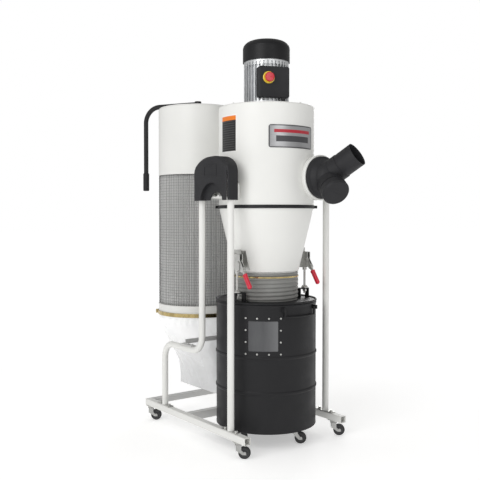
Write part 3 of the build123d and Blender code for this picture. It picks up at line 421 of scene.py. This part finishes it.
def bag_film():
    """Milky translucent plastic film, darker towards the bottom, with a painted glow that is strongest near
    the top.
    """
    nodes = Nodes("bag_film")
    place = nodes.place()
    cloud = nodes.noise(place, 9.0, 4)
    crinkle = nodes.noise(nodes.place(scale=(1, 1, 0.7)), 15.0, 3, 0.45)
    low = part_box("collection_bag")[0]
    # Share towards the bottom: it darkens the film and fades out its painted glow.
    depth = nodes.between(nodes.axis(place, "Z"), low.z + 0.30, low.z + 0.10)
    clear = nodes.blend(nodes.between(cloud, 0.35, 0.65), (0.97, 0.97, 0.97), (0.93, 0.935, 0.94))
    nodes.colour(nodes.blend(depth, clear, (0.80, 0.805, 0.81)))
    nodes.rough(nodes.between(crinkle, 0.3, 0.7, 0.22, 0.32))
    nodes.shader.inputs["Alpha"].default_value = 0.80
    # Painted glow: the film emits light as if lit through, stronger near the top.
    nodes.shader.inputs["Emission Color"].default_value = (1, 1, 1, 1)
    nodes.put(nodes.shader.inputs["Emission Strength"], nodes.between(depth, 0, 1, 0.13, 0.03))
    nodes.relief(crinkle, 0.0012)
    return nodes.material


def hose_skin():
    nodes = Nodes("hose_skin")
    place = nodes.place()
    fine = nodes.noise(place, 260.0, 4, 0.6)
    cloud = nodes.noise(place, 11.0, 4)
    nodes.colour(nodes.blend(nodes.between(cloud, 0.35, 0.65), (0.27, 0.27, 0.26), (0.21, 0.21, 0.20)))
    nodes.rough(nodes.between(fine, 0.3, 0.7, 0.38, 0.55))
    nodes.relief(fine, 0.00015)
    return nodes.material


def window_sheet():
    nodes = Nodes("smoked_sheet")
    place = nodes.place()
    haze = nodes.noise(nodes.place(scale=(1, 1, 0.3)), 14.0, 4)
    low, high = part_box("drum_window")
    # Lighter towards the +X side: painted reflection across the smoked sheet.
    side = nodes.between(nodes.axis(place, "X"), low.x + 0.05, high.x)
    smoked = nodes.blend(nodes.between(haze, 0.3, 0.7), (0.045, 0.046, 0.050), (0.075, 0.077, 0.081))
    nodes.colour(nodes.blend(side, smoked, (0.17, 0.172, 0.178)))
    nodes.rough(nodes.between(nodes.noise(place, 90.0, 4), 0.3, 0.7, 0.12, 0.24))
    nodes.shader.inputs["Coat Weight"].default_value = 0.3
    nodes.shader.inputs["Coat Roughness"].default_value = 0.08
    nodes.relief(haze, 0.0003)
    return nodes.material


def wheel_rubber():
    """Black tyre round a dark grey hub, told apart by distance from the axle."""
    nodes = Nodes("wheel_moulding")
    low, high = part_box("caster_wheel_fl")
    span = high - low
    generated = nodes.add("TexCoord").outputs["Generated"]
    centred = nodes.add("Mapping", Vector=generated, Location=tuple(-s / 2 for s in span), Scale=tuple(span))
    axle = nodes.add("VectorMath")
    axle.operation = "CROSS_PRODUCT"
    nodes.link(centred.outputs[0], axle.inputs[0])
    axle.inputs[1].default_value = Vector(JOINTS["wheel_fl_roll"]["axis"])
    radius = nodes.add("VectorMath")
    radius.operation = "LENGTH"
    nodes.link(axle.outputs[0], radius.inputs[0])
    tyre = nodes.between(radius.outputs["Value"], 0.0180, 0.0186)
    place = nodes.place()
    dust = nodes.between(nodes.noise(place, 130.0, 5, 0.65), 0.45, 0.7, 0, 0.5)
    rubber = nodes.blend(dust, (0.018, 0.018, 0.019), (0.06, 0.058, 0.055))
    nodes.colour(nodes.blend(tyre, (0.035, 0.035, 0.037), rubber))
    nodes.rough(nodes.between(nodes.noise(place, 160.0, 3), 0.3, 0.7, 0.45, 0.68))
    nodes.relief(nodes.noise(place, 500.0, 3), 0.0001, nodes.soft_edges(0.0006))
    return nodes.material


def dress(material, *names):
    """Give CAD nodes their material."""
    for name in names:
        slots = NODES[name].data.materials
        slots.clear()
        slots.append(material)


def dress_cad_nodes():
    white = painted("white_powder_coat", (0.80, 0.80, 0.775), 0.42, shine=0.35)
    dress(white, "base_rail_left", "base_rail_right", "side_frame_left", "side_frame_right")
    dress(white, "hanger_brackets", "cyclone_barrel", "inlet_duct", "cyclone_cone", "outlet_duct")
    dress(white, "filter_housing", "filter_base_ring", "motor_plate", "vortex_deck")
    # The cross members are white like the frame; this grey copy of the coat is painted shade.
    dress(painted("white_coat_painted_shade", (0.60, 0.60, 0.59), 0.42), "cross_members")
    black = painted("black_powder_coat", (0.012, 0.012, 0.0135), 0.48, 0.12, 0.00007, 0.4,
                    (0.06, 0.06, 0.06), 0.28)
    dress(black, "drum", "drum_handle", "lid", "cone_band")
    dress(moulded("crank_coating", (0.014, 0.014, 0.015), 0.62, 420.0, 0.0005, shine=0.3), "filter_crank")
    dress(moulded("black_moulding", (0.016, 0.016, 0.018), 0.55, 900.0, 0.0001, shine=0.28), "top_cover_left",
          "top_cover_right", "inlet_adapter", "port_cap", "switch_box")
    dress(moulded("hood_moulding", (0.006, 0.006, 0.007), 0.45, 900.0, 0.00008, shine=0.25), "fan_cover")
    zinc = bare_metal("bright_zinc", (0.62, 0.62, 0.60), 0.34)
    dress(zinc, "frame_fasteners", "lever_left", "lever_right")
    dress(zinc, "lift_rods", "window_screws", "clamp_brackets")
    dress(bare_metal("caster_zinc", (0.46, 0.46, 0.45), 0.30), *[name for name in NODES if "_fork_" in name])
    dress(bare_metal("cage_wire", (0.26, 0.26, 0.26), 0.5), "filter_cage")
    cast = bare_metal("cast_aluminium", (0.74, 0.75, 0.76), 0.46, (1, 1, 1), 300.0, 0.00012)
    dress(cast, "motor_body", "impeller")
    dress(bare_metal("turned_steel", (0.50, 0.50, 0.51), 0.28, (1, 1, 12), 60.0), "motor_rotor")
    dress(bare_metal("brass_band", (0.56, 0.44, 0.20), 0.22, (1, 1, 14), 90.0, 0.00003, 0.3), "band_clamps")
    dress(nameplate_metal(), "nameplate")
    dress(label_film(), "label")
    dress(moulded("yellow_moulding", (0.72, 0.50, 0.03), 0.32, 700.0, 0.00003, 0.3), "switch_ring")
    dress(moulded("red_moulding", (0.50, 0.010, 0.026), 0.28, 700.0, 0.00003, 0.4), "stop_button")
    dress(window_sheet(), "drum_window")
    dress(wheel_rubber(), *[name for name in NODES if "_wheel_" in name])


# ---------------------------------------------------------------- mesh helpers
def piece(name, points, faces, material, body, slot, *stands_for):
    mesh = bpy.data.meshes.new(name)
    mesh.from_pydata([tuple(p) for p in points], [], faces)
    mesh.materials.append(material)
    mesh.polygons.foreach_set("use_smooth", [True] * len(mesh.polygons))
    mesh.update()
    made = bpy.data.objects.new(name, mesh)
    bpy.context.scene.collection.objects.link(made)
    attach(made, body)
    if stands_for:
        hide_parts(*stands_for)
    return made


def grid_faces(rows, columns, loop=True):
    """Quads over rows of points; with loop, each row closes on itself."""
    faces = []
    for i in range(rows - 1):
        for j in range(columns if loop else columns - 1):
            k = (j + 1) % columns
            faces.append((i * columns + j, i * columns + k, (i + 1) * columns + k, (i + 1) * columns + j))
    return faces


def closed_shell(outer, inner, rows, columns):
    """Points and faces of a wall between an outer and an inner skin, joined at both ends."""
    points = outer + inner
    count = rows * columns
    faces = grid_faces(rows, columns)
    faces += [tuple(reversed([count + i for i in face])) for face in grid_faces(rows, columns)]
    for j in range(columns):
        k = (j + 1) % columns
        top = (rows - 1) * columns
        faces.append((k, j, count + j, count + k))
        faces.append((top + j, top + k, count + top + k, count + top + j))
    return points, faces


# ---------------------------------------------------------------- flexible hose
def flexible_hose():
    """Bellows with a wire helix."""
    low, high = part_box("flex_hose")
    reach = (high.x - low.x) / 2
    ribs = HOSE_RIBS
    depth = HOSE_RIB_DEPTH
    wall = HOSE_WALL
    rows, columns = ribs * 18 + 1, 160
    outer, inner = [], []
    for i in range(rows):
        share = i / (rows - 1)
        z = low.z + (high.z - low.z) * share
        for j in range(columns):
            turn = j / columns
            wave = 0.5 + 0.5 * cos(2 * pi * (share * ribs - turn))
            radius = reach - depth * (1 - wave ** 0.65)
            fade = min(1, share * 14, (1 - share) * 14)
            radius = reach - depth + (radius - reach + depth) * fade
            a = 2 * pi * turn
            outer.append((CYCLONE.x + radius * cos(a), CYCLONE.y + radius * sin(a), z))
            inner.append((CYCLONE.x + (radius - wall) * cos(a), CYCLONE.y + (radius - wall) * sin(a), z))
    points, faces = closed_shell(outer, inner, rows, columns)
    hose = piece("hose_bellows", points, faces, hose_skin(), "frame", "hose_grey", "flex_hose")
    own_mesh(hose)


# ---------------------------------------------------------------- filter pleats
def filter_pleats():
    """Pleated sleeve: rounded crests, each a little out of true."""
    low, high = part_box("filter_medium")
    crest = (high.x - low.x) / 2
    pleats = PLEATS
    depth = PLEAT_DEPTH
    wall = PLEAT_WALL
    per_pleat = 8
    rows, columns = 26, pleats * per_pleat
    outer, inner = [], []
    for i in range(rows):
        z = low.z + (high.z - low.z) * i / (rows - 1)
        for j in range(columns):
            phase = j / per_pleat
            lean = 0.10 * noise.noise(Vector((phase * 0.7, z * 3.0, 5.0)))
            a = 2 * pi * (phase + lean) / pleats
            swing = abs((phase % 1) * 2 - 1)
            rounded = swing ** 1.25
            radius = crest - depth * rounded - 0.0016 * (0.5 + 0.5 * noise.noise(Vector((phase, z * 6, 9))))
            outer.append((FILTER.x + radius * cos(a), FILTER.y + radius * sin(a), z))
            inner.append((FILTER.x + (radius - wall) * cos(a), FILTER.y + (radius - wall) * sin(a), z))
    points, faces = closed_shell(outer, inner, rows, columns)
    piece("filter_pleats", points, faces, pleat_cloth(), "frame", "filter_cloth", "filter_medium")


# ---------------------------------------------------------------- dust bag
def bag_levels(share):
    """Half widths across and along the seam at a share of the way down, eased between levels."""
    levels = [(0.0, 0.1940, 0.1940), (0.072, 0.1940, 0.1940), (0.144, 0.190, 0.193), (0.209, 0.180, 0.191),
              (0.273, 0.166, 0.188), (0.338, 0.152, 0.185), (0.415, 0.132, 0.181), (0.505, 0.102, 0.175),
              (0.595, 0.070, 0.168), (0.686, 0.042, 0.164), (0.789, 0.024, 0.162), (0.892, 0.013, 0.162),
              (1.0, 0.0035, 0.165)]
    for (s0, a0, b0), (s1, a1, b1) in zip(levels, levels[1:]):
        if share <= s1:
            t = (share - s0) / (s1 - s0)
            return a0 + (a1 - a0) * t, b0 + (b1 - b0) * t
    return levels[-1][1:]


def dust_bag():
    """Film bag gathered under its band and pressed to a straight seam at the bottom."""
    low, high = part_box("collection_bag")
    wall = BAG_WALL
    gather_depth, sweep_depth, crease_depth, fine_depth = 0.0012, 0.0130, 0.0014, 0.0002
    rows, columns = 120, 320
    outer, inner = [], []
    for i in range(rows):
        share = i / (rows - 1)
        z = high.z + (low.z - high.z) * share
        smooth = [bag_levels(min(1, max(0, share + d))) for d in (-0.05, -0.025, 0, 0.025, 0.05)]
        across = sum(s[0] for s in smooth) / 5 if share < 0.95 else bag_levels(share)[0]
        along = sum(s[1] for s in smooth) / 5
        for j in range(columns):
            a = 2 * pi * j / columns
            side = Vector((across * cos(a), along * sin(a), 0))
            out = Vector((cos(a) / max(across, 0.02), sin(a) / along, 0)).normalized()
            gather = gather_depth * exp(-((share - 0.10) / 0.04) ** 2) * sin(a * 30 + 2.5 * sin(a * 5))
            swell = min(1, max(0, (share - 0.12) * 5)) * min(1, (1 - share) * 7)
            sweep = noise.noise(Vector((cos(a) * 1.6, sin(a) * 1.6 + share * 1.2, share * 2.2 + 3)))
            fold = Vector((cos(a) * 2.6 + share * 2.4, sin(a) * 2.6 - share * 1.6, share * 2.6))
            crease = noise.noise(fold)
            ridge = (1 - abs(crease) * 2.6) if abs(crease) < 0.38 else 0.0
            fine = noise.noise(Vector((cos(a) * 13, sin(a) * 13, share * 13 + a)))
            bulge = swell * (sweep_depth * sweep + crease_depth * (ridge - 0.35) + fine_depth * fine)
            limit = max(0.0, min(1.0, across / 0.05))
            push = gather + bulge * (0.35 + 0.65 * limit)
            sag = -0.004 * swell * sweep
            spot = side + out * push
            skin = side + out * (push - wall)
            for store, q in ((outer, spot), (inner, skin)):
                store.append((FILTER.x + q.x, FILTER.y + q.y, z + sag))
    points, faces = closed_shell(outer, inner, rows, columns)
    bag = piece("dust_bag", points, faces, bag_film(), "frame", "clear_film", "collection_bag")


# ---------------------------------------------------------------- lever grips
def lever_grip(side, material):
    """Dipped grip with a collar, a waist and a rounded end, along the lever."""
    name = "lever_" + side
    pivot = Vector(JOINTS[name + "_turn"]["pos_m"])
    low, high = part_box("grip_" + side)
    middle = (low + high) / 2
    along = (middle - pivot)
    along.x = 0
    along.normalize()
    across = Vector((1, 0, 0))
    thick = along.cross(across)
    start, end = 0.060, 0.1275
    half_wide, half_thick = 0.0083, 0.0103
    rows, columns = 40, 48
    points = []
    for i in range(rows):
        share = i / (rows - 1)
        t = start + (end - start) * share
        collar = 1.0 + 0.10 * exp(-((share - 0.03) / 0.035) ** 2)
        waist = 1.0 - 0.05 * sin(pi * share) + 0.02 * cos(6 * pi * share) * (1 - share)
        rounding = sqrt(max(0.0, 1 - max(0.0, (share - 0.86) / 0.14) ** 2))
        opening = 0.88 if i == 0 else 1.0
        for j in range(columns):
            a = 2 * pi * j / columns
            shape = (abs(cos(a)) ** 2.6 + abs(sin(a)) ** 2.6) ** (-1 / 2.6)
            scale = collar * waist * rounding * opening
            p = across * (half_wide * shape * scale * cos(a))
            p += thick * (half_thick * shape * scale * sin(a))
            points.append(pivot + along * t + p)
    faces = grid_faces(rows, columns)
    faces.append(tuple(range(columns))[::-1])
    return piece("hand_grip_" + side, points, faces, material, name, "red_plastic", "grip_" + side)


# ---------------------------------------------------------------- making
make_camera()
make_world()
make_floor()
for light in LIGHTS:
    softbox(*light)
bpy.context.scene.view_settings.view_transform = "Standard"

dress_cad_nodes()
flexible_hose()
filter_pleats()
dust_bag()
red = moulded("grip_rubber", (0.56, 0.010, 0.035), 0.34, 500.0, 0.00006, 0.25)
for hand in ("left", "right"):
    lever_grip(hand, red)
